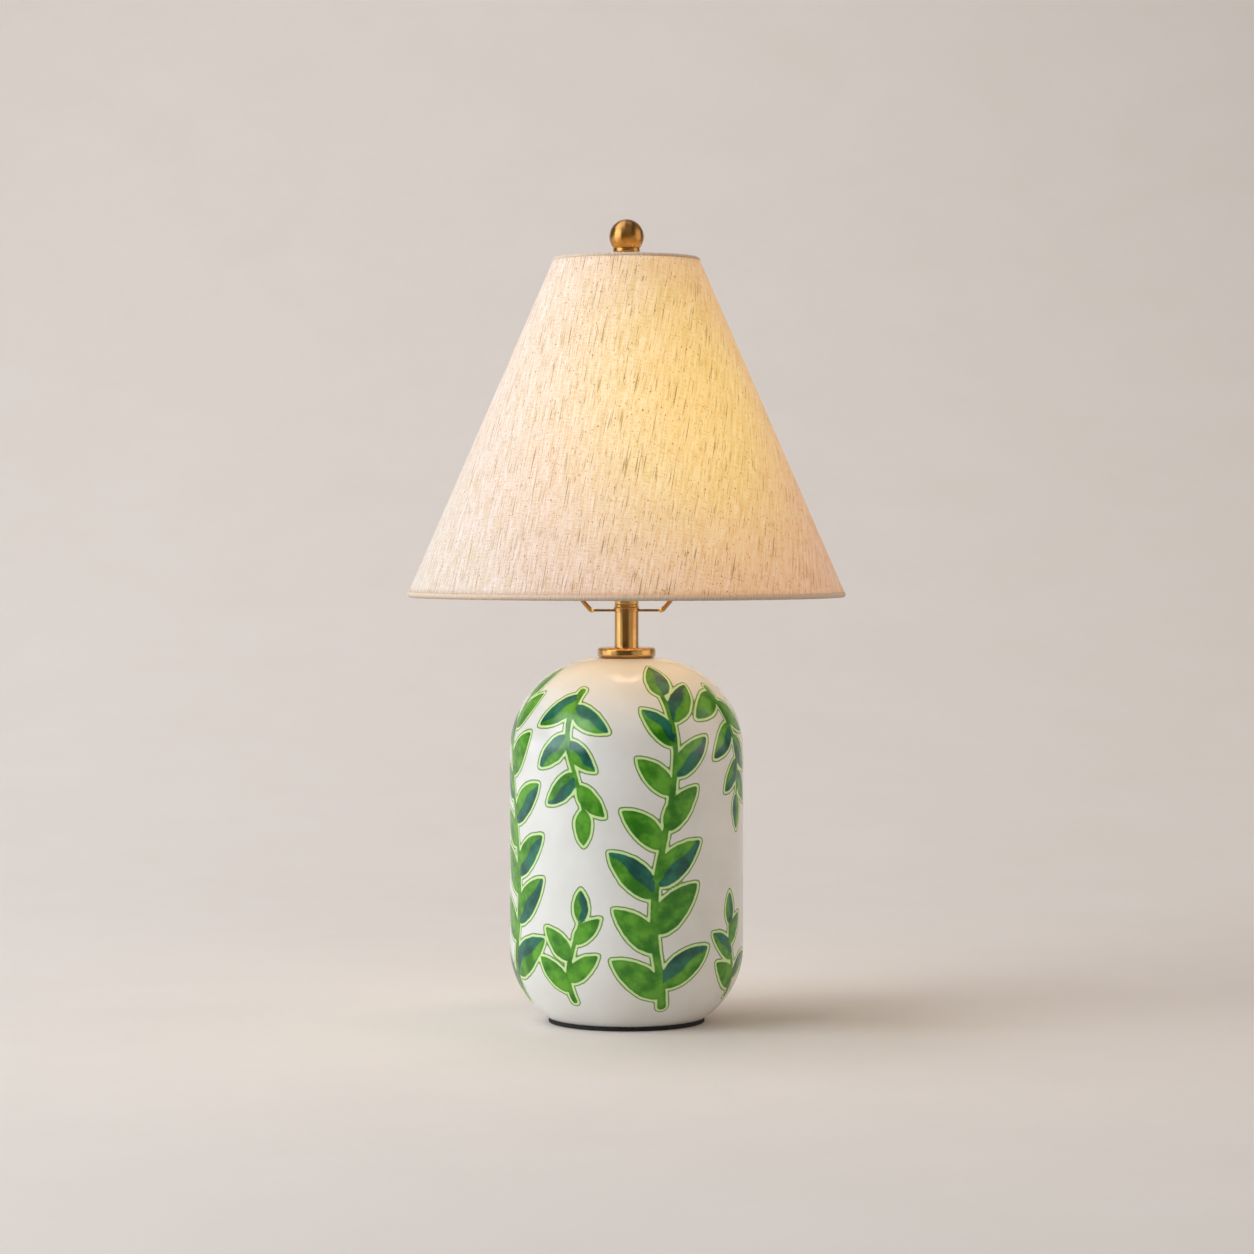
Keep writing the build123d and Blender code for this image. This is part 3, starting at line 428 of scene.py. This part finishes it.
def wrapped(angle):
    """An angle, brought to within half a turn of 0."""
    return (angle + math.pi) % (2 * math.pi) - math.pi


def almond(t):
    """A leaf's half width along its length, 1 at its widest."""
    stalk, point, widest = 0.62, 0.85, 0.4218
    return t**stalk * (1 - t) ** point / (widest**stalk * (1 - widest) ** point)


class Sprigs:
    """Sprigs brushed on the body, as a signed distance in millimetres at each point of its skin."""

    UNPAINTED = 20.0
    NO_TEAL = -10.0
    SKIN = 1.0
    STEM_NEAR = 16
    LEAF_NEAR = 12
    RIM_POINTS = 40

    def __init__(self, points):
        x, y, z = points.T / MM
        radius = np.hypot(x, y)
        heel, shoulder = z < heel_height, z > shoulder_height
        from_heel = heel_height - z, radius - heel_centre
        from_shoulder = z - shoulder_height, radius - TOP_FLAT
        self.angle = np.arctan2(x, -y)
        self.rise = np.where(heel, -HEEL * np.arctan2(*from_heel), z - heel_height)
        over = wall_length + SHOULDER * np.arctan2(*from_shoulder)
        self.rise = np.where(shoulder, over, self.rise)
        depth = np.where(heel, np.hypot(*from_heel) - HEEL, radius - BODY_RADIUS)
        depth = np.where(shoulder, np.hypot(*from_shoulder) - SHOULDER, depth)
        self.outside = depth > -self.SKIN
        self.edge = np.full(len(z), self.UNPAINTED)
        self.teal = np.full(len(z), self.NO_TEAL)

    @staticmethod
    def girth(rise):
        """The body's radius at a distance along its skin."""
        if rise < 0:
            return heel_centre + HEEL * math.cos(rise / HEEL)
        if rise > wall_length:
            turn = min((rise - wall_length) / SHOULDER, math.pi / 2)
            return TOP_FLAT + SHOULDER * math.cos(turn)
        return BODY_RADIUS

    def lay(self, near, distance, teal):
        """Adds a shape where it is nearer than what is there."""
        nearer = distance < self.edge[near]
        spots = near[nearer]
        self.edge[spots] = distance[nearer]
        self.teal[spots] = teal[nearer]

    def stem(self, line, half_widths):
        """A tapering line through (angle, rise) points."""
        ends = zip(line[:-1], line[1:], half_widths[:-1], half_widths[1:])
        for (a0, r0), (a1, r1), w0, w1 in ends:
            girth = self.girth((r0 + r1) / 2)
            du = girth * wrapped(self.angle - a0)
            ds = self.rise - r0
            close = (np.abs(du) < self.STEM_NEAR) & (np.abs(ds) < self.STEM_NEAR)
            near = np.flatnonzero(close & self.outside)
            du, ds = du[near], ds[near]
            ex, ey = girth * wrapped(a1 - a0), r1 - r0
            along = np.clip((du * ex + ds * ey) / (ex * ex + ey * ey), 0, 1)
            half_width = w0 + (w1 - w0) * along
            distance = np.hypot(du - along * ex, ds - along * ey) - half_width
            self.lay(near, distance, np.full(len(near), self.NO_TEAL))

    def leaf(self, angle, rise, turn, length, width, bend, side):
        """An almond leaf from a point on the skin. side puts teal on one half of it, or on none."""
        girth = self.girth(rise + 0.5 * length * math.cos(turn))
        du, ds = girth * wrapped(self.angle - angle), self.rise - rise
        near = np.flatnonzero((np.hypot(du, ds) < length + self.LEAF_NEAR) & self.outside)
        du, ds = du[near], ds[near]
        a = ds * math.cos(turn) + du * math.sin(turn)
        b = du * math.cos(turn) - ds * math.sin(turn)
        t = np.linspace(0, 1, self.RIM_POINTS)
        half = width / 2 * almond(t)
        middle = bend * length * t * (1 - t)
        rim_a = np.concatenate([t, t[::-1]]) * length
        rim_b = np.concatenate([middle + half, (middle - half)[::-1]])
        step_a, step_b = np.roll(rim_a, -1) - rim_a, np.roll(rim_b, -1) - rim_b
        square = np.maximum(step_a**2 + step_b**2, 1e-9)
        from_a, from_b = a[:, None] - rim_a, b[:, None] - rim_b
        part = np.clip((from_a * step_a + from_b * step_b) / square, 0, 1)
        distance = np.hypot(from_a - part * step_a, from_b - part * step_b).min(1)
        tt = np.clip(a / length, 0, 1)
        off = b - bend * length * tt * (1 - tt)
        inside = (np.abs(off) < width / 2 * almond(tt)) & (a > 0) & (a < length)
        wave = 0.9 * np.sin(tt * 11 + length) - 0.6
        teal = np.full(len(near), self.NO_TEAL) if side == 0 else side * off - wave
        self.lay(near, np.where(inside, -distance, distance), teal)


# The sprigs' sizes, in millimetres and degrees
TALL_SPRIGS = 4
FIRST_HEADING = 17
TALL_START, SHORT_START = -36.0, -32.0
TALL_SCALE, SHORT_SCALE, HANGING_SCALE = 1.0, 0.7, 0.77
STEM_WIDE, STEM_THIN = 3.0, 1.5
LEAF_LENGTH, LEAF_WIDTH = 43.0, 19.0
TIP_LENGTH, TIP_WIDTH, TIP_BEND = 32.0, 15.0, 0.06
LEAF_LEAN, TIP_LEAN = 52, 12


def plan_sprigs(chance):
    """Each sprig's heading, start, end, way up or down, pairs of leaves and scale."""
    sprigs = []
    for i in range(TALL_SPRIGS):
        heading = math.radians(90 * i + FIRST_HEADING + chance.uniform(-3, 3))
        end = wall_length + chance.uniform(38, 50)
        sprigs.append((heading, TALL_START, end, 1, 6, TALL_SCALE))
        between = heading + math.radians(45 + chance.uniform(-2, 2))
        end = chance.uniform(20, 28)
        sprigs.append((between, SHORT_START, end, 1, 2, SHORT_SCALE))
        start = wall_length + chance.uniform(44, 54)
        end = chance.uniform(100, 108)
        sprigs.append((between, start, end, -1, 3, HANGING_SCALE))
    return sprigs


def brush_sprigs(obj):
    """Tall sprigs that climb from the heel, with short ones between them that climb or hang."""
    sprigs = Sprigs(points_of(obj))
    chance = np.random.default_rng(21)
    for heading, start, end, way, pairs, scale in plan_sprigs(chance):
        swing, phase = chance.uniform(7, 10) * scale, chance.uniform(0, 2 * math.pi)
        waves = 1.5 + pairs * 0.75
        count = max(16, round(abs(end - start) / 4))
        line = []
        for t in np.linspace(0, 1, count):
            sway = swing * math.sin(phase + t * waves) / BODY_RADIUS
            line.append((heading + sway, start + (end - start) * t))
        sprigs.stem(line, np.linspace(STEM_WIDE, STEM_THIN, count) * scale)
        for k in range(pairs):
            for hand in (-1, 1):
                t = (k + 0.45 + 0.17 * hand + chance.uniform(-0.06, 0.06)) / (pairs + 0.35)
                angle, rise = line[min(int(t * count), count - 1)]
                lean = LEAF_LEAN - TIP_LEAN * t + chance.uniform(-7, 7)
                lean = hand * math.radians(lean)
                turn = lean if way > 0 else math.pi - lean
                size = scale * chance.uniform(0.9, 1.08) * (1.08 - 0.3 * t)
                bend = -hand * way * chance.uniform(0.06, 0.2)
                side = int(chance.choice([0, 1, -1]))
                sprigs.leaf(angle, rise, turn, LEAF_LENGTH * size, LEAF_WIDTH * size, bend, side)
        angle, rise = line[-1]
        turn = 0.0 if way > 0 else math.pi
        length, width = TIP_LENGTH * scale, TIP_WIDTH * scale
        sprigs.leaf(angle, rise - way, turn, length, width, TIP_BEND, int(chance.choice([0, 1])))
    store(obj, "sprig", sprigs.edge)
    store(obj, "teal", sprigs.teal)


def glazed_body():
    """The ceramic's glazed skin, with the hole for the cord's grommet."""
    obj = turned("glazed_body", outline(), COLUMNS)
    low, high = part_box("cord_grommet")
    middle = (low + high) / 2
    bpy.ops.mesh.primitive_cylinder_add(
        vertices=INLET_SIDES, radius=INLET_RADIUS * MM, depth=INLET_CUT * MM, location=middle
    )
    cutter = bpy.context.object
    cutter.rotation_euler = (math.pi / 2 + INLET_TILT, 0, 0)
    cut = obj.modifiers.new("inlet", "BOOLEAN")
    cut.object = cutter
    cut.solver = "EXACT"
    graph = bpy.context.evaluated_depsgraph_get()
    mesh = bpy.data.meshes.new_from_object(obj.evaluated_get(graph))
    obj.modifiers.clear()
    obj.data = mesh
    bpy.data.objects.remove(cutter)
    mesh.shade_smooth()
    mesh.materials.clear()
    mesh.materials.append(glaze())
    brush_sprigs(obj)
    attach(obj, "base")
    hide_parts("ceramic_body")


# The shade's cone, in millimetres
cover_low, cover_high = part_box("shade_cover")
SHADE_LOW = cover_low.z / MM
SHADE_HIGH = cover_high.z / MM
SHADE_FOOT = cover_high.x / MM
SLOPE = 0.4365
CLOTH = 0.7
LAP = 12.0
LAP_LIFT = 0.65
LAP_RAMP = 0.02
SEAM = math.radians(158)
COVER_ROWS, COVER_COLUMNS = 56, 480
spread = SLOPE / math.hypot(1, SLOPE)

# The rolled hems, in millimetres
HEM_COLUMNS = 720
HEM_STEPS = 26
HEM_CLOTH = 0.45
HEM_GAP = 1.5
HEM_SLACK = 0.02
PUCKERS = (0.35, 0.6, 0.95, 1.3)
PUCKER_DEPTH = 0.4


def linen_cover(material):
    """One cut of cloth, wrapped once around and lapped at the back."""
    rows, columns = COVER_ROWS, COVER_COLUMNS
    lap_angle = LAP / SHADE_FOOT
    turn = np.linspace(0, 2 * math.pi + lap_angle, columns)
    angle = SEAM - lap_angle / 2 + turn
    height = np.linspace(SHADE_LOW, SHADE_HIGH, rows)[:, None]
    cone = SHADE_FOOT - (height - SHADE_LOW) * SLOPE
    outer = cone + LAP_LIFT * np.clip((turn - 2 * math.pi + LAP_RAMP) / LAP_RAMP, 0, 1)
    layers = [ring_points(outer - inset, angle, height) * MM for inset in (0.0, CLOTH)]
    fan = (turn - math.pi) * spread
    reach = np.broadcast_to(cone / spread, outer.shape)
    cut = np.stack([reach * np.sin(fan), reach * np.cos(fan), 0 * reach], -1).reshape(-1, 3) * MM
    size = rows * columns
    outside = grid_faces(rows, columns)
    border = np.concatenate([
        np.arange(columns),
        np.arange(1, rows) * columns + columns - 1,
        size - 2 - np.arange(columns - 1),
        np.arange(rows - 2, 0, -1) * columns,
    ])
    following = np.roll(border, -1)
    rim = np.stack([following, border, border + size, following + size], -1)
    faces = np.concatenate([outside, outside[:, ::-1] + size, rim])
    obj = new_mesh("linen_cover", np.concatenate(layers), faces, material)
    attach(obj, "shade")
    store(obj, "cut", np.concatenate([cut, cut]))
    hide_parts("shade_cover")
    return obj


def rolled_hem(name, node, material):
    """Cloth rolled over a wire ring, open along its inner side where the spider's arms come in."""
    low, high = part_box(node)
    bead = (high.z - low.z) / 2 / MM
    ring = high.x / MM - bead
    middle = (high.z + low.z) / 2 / MM
    around = np.arange(HEM_COLUMNS) * 2 * math.pi / HEM_COLUMNS
    open_half = math.asin(HEM_GAP / bead)
    sweep = np.linspace(-math.pi + open_half, math.pi - open_half, HEM_STEPS)
    chance = np.random.default_rng(5)
    pucker = sum(
        chance.uniform(0.01, 0.03) * np.sin(around * round(ring * k) + chance.uniform(0, 6.28))
        for k in PUCKERS
    )
    points, cuts = [], []
    for reach, path, depth in ((bead, sweep, PUCKER_DEPTH), (bead - HEM_CLOTH, sweep[::-1], 0.0)):
        wide = reach * (1 - HEM_SLACK + pucker * depth)
        for a in path:
            radius, height = ring + wide * math.cos(a), middle + wide * math.sin(a)
            points.append(ring_points(radius, around, height))
            flat = [ring * around, np.full(HEM_COLUMNS, bead * a), np.zeros(HEM_COLUMNS)]
            cuts.append(np.stack(flat, -1))
    faces = grid_faces(2 * HEM_STEPS, HEM_COLUMNS, True, True)
    obj = new_mesh(name, np.concatenate(points) * MM, faces, material)
    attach(obj, "shade")
    store(obj, "cut", np.concatenate(cuts) * MM)
    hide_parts(node)
    return obj


def shade_cloth():
    """The linen cover with its two hems."""
    cover = linen_cover(linen())
    hem = hem_cloth()
    hems = [rolled_hem("hem_low", "bottom_hem", hem), rolled_hem("hem_high", "top_hem", hem)]


# Finishes of the nodes that keep their CAD shape: two colours, roughness, then what is its own
METALS = {
    "satin_brass": ((200, 154, 88), (182, 132, 64), 0.19, 0.000004, 0.5, 0.6),
    "turned_brass": ((190, 142, 74), (166, 116, 50), 0.27, 0.000004, 0.4, 0.95),
    "socket_brass": ((214, 178, 112), (190, 150, 88), 0.22, 0.00004),
    "zinc_steel": ((188, 190, 192), (160, 160, 158), 0.34, 0.00005),
    "nickel": ((206, 202, 194), (186, 180, 170), 0.22, 0.00004),
}
PLAIN = {
    "foot_foam": ((34, 30, 29), (22, 20, 20), 0.82, 500.0, 0.0003),
    "black_rubber": ((30, 29, 29), (20, 20, 20), 0.6, 300.0, 0.0002),
    "white_wire": ((232, 229, 222), (214, 210, 202), 0.4, 200.0, 0.0002),
    "liner_card": ((196, 176, 142), (172, 150, 116), 0.85, 420.0, 0.0003),
    "phenolic": ((30, 25, 23), (18, 15, 14), 0.3, 240.0, 0.0001),
    "styrene": ((240, 236, 226), (230, 225, 212), 0.45, 160.0, 0.0001),
}
GLOWING = {"frosted_glass": ((255, 217, 171), 8.4), "phosphor": ((255, 190, 110), 5.0)}


def finish_nodes():
    """Gives each CAD node the finish of its slot. The finial is turned brass."""
    finishes = {"clear_glass": clear_glass()}
    for make, table in ((metal, METALS), (plain, PLAIN)):
        for name, (light, dark, *rest) in table.items():
            finishes[name] = make(name, linear(*light), linear(*dark), *rest)
    for name, (glow, strength) in GLOWING.items():
        finishes[name] = glass_glow(name, linear(*glow), strength)
    for part in frame["record"]["subparts"]:
        finial = part["node"].startswith("finial")
        finish = finishes.get("turned_brass" if finial else part["material_slot"])
        if finish is not None:
            mesh = frame["nodes"][part["node"]].data
            mesh.materials.clear()
            mesh.materials.append(finish)


# The room, in metres
FLOOR_FRONT, FLOOR_BACK = -1.2, 0.7
SWEEP_RADIUS, SWEEP_STEPS = 3.2, 48
WALL_TOP = 6.0
PAPER_HALF, PAPER_COLUMNS = 5.0, 9
PAPER_DROP = 0.0002
PAPER, PAPER_SHADE = linear(238, 229, 223), linear(235, 226, 219)


def backdrop():
    """A plain paper sweep: floor, curve and wall in one sheet."""
    profile = [(FLOOR_FRONT, 0.0), (FLOOR_BACK, 0.0)]
    for a in np.linspace(0, math.pi / 2, SWEEP_STEPS)[1:]:
        y = FLOOR_BACK + SWEEP_RADIUS * math.sin(a)
        profile.append((y, SWEEP_RADIUS - SWEEP_RADIUS * math.cos(a)))
    profile.append((FLOOR_BACK + SWEEP_RADIUS, WALL_TOP))
    across = np.linspace(-PAPER_HALF, PAPER_HALF, PAPER_COLUMNS)
    points = [(x, y, z - PAPER_DROP) for y, z in profile for x in across]
    paint = Paint("paper", roughness=0.9)
    where = paint.place()
    mottle = paint.noise(where, 7.0, 5.0, 0.7)
    paint.set("Base Color", paint.mix(paint.even(mottle), PAPER, PAPER_SHADE))
    paint.bump(paint.noise(where, 300.0, 2.0, 0.6), 0.0002, 0.3)
    faces = grid_faces(len(profile), PAPER_COLUMNS)
    new_mesh("paper_sweep", points, faces, paint.material)


def aim(obj, place, target):
    """Puts a light or the camera in its place, looking at a target."""
    obj.location = place
    obj.rotation_euler = (Vector(target) - Vector(place)).to_track_quat("-Z", "Y").to_euler()
    bpy.context.scene.collection.objects.link(obj)


def softbox(name, place, target, width, height, power, colour):
    """A soft rectangular light."""
    lamp = bpy.data.lights.new(name, "AREA")
    lamp.shape = "RECTANGLE"
    lamp.size, lamp.size_y = width, height
    lamp.energy = power
    lamp.color = colour
    aim(bpy.data.objects.new(name, lamp), place, target)


COOL = (0.87, 0.955, 1.0)
BODY_MIDDLE = (0, 0, 0.30)
# Each light's place, target, width, height, power in watts and colour
LIGHTS = {
    "key": ((-2.5, -1.3, 1.35), BODY_MIDDLE, 2.4, 2.0, 65.0, COOL),
    "low_left": ((-2.6, -0.1, 0.34), BODY_MIDDLE, 2.2, 0.50, 7.4, COOL),
    "fill": ((2.7, -0.1, 1.1), BODY_MIDDLE, 2.4, 2.0, 18.5, (1.0, 0.87, 0.74)),
    "low_right": ((2.25, -1.3, 0.36), BODY_MIDDLE, 4.2, 0.50, 5.9, (1.0, 0.94, 0.84)),
    "front": ((0.0, -2.4, 3.2), (0, 0, 0), 4.0, 2.4, 11.0, (1.0, 0.96, 0.90)),
    "top": ((-1.5, 0.1, 3.2), (0, 0, 0.35), 2.6, 2.6, 38.0, (0.95, 0.97, 1.0)),
    "wall": ((-0.6, 1.2, 3.6), (0, 3.9, 1.2), 3.6, 1.6, 37.0, (1.0, 0.975, 0.955)),
}
WORLD_COLOUR, WORLD_STRENGTH = (1.0, 0.93, 0.86, 1.0), 0.08
CAMERA_PLACE, CAMERA_TARGET = (0.0003, -2.454, 0.341), (0.0003, 0, 0.2754)
SENSOR, LENS = 36.0, 101.0


def room():
    """The backdrop, the lights, the world and the camera."""
    scene = bpy.context.scene
    backdrop()
    for name, light in LIGHTS.items():
        softbox(name, *light)
    world = bpy.data.worlds.new("room")
    world.use_nodes = True
    background = world.node_tree.nodes["Background"]
    background.inputs["Color"].default_value = WORLD_COLOUR
    background.inputs["Strength"].default_value = WORLD_STRENGTH
    scene.world = world
    camera = bpy.data.objects.new("camera", bpy.data.cameras.new("camera"))
    camera.data.sensor_width = SENSOR
    camera.data.lens = LENS
    aim(camera, CAMERA_PLACE, CAMERA_TARGET)
    scene.camera = camera
    scene.view_settings.view_transform = "Standard"


finish_nodes()
glazed_body()
shade_cloth()
room()
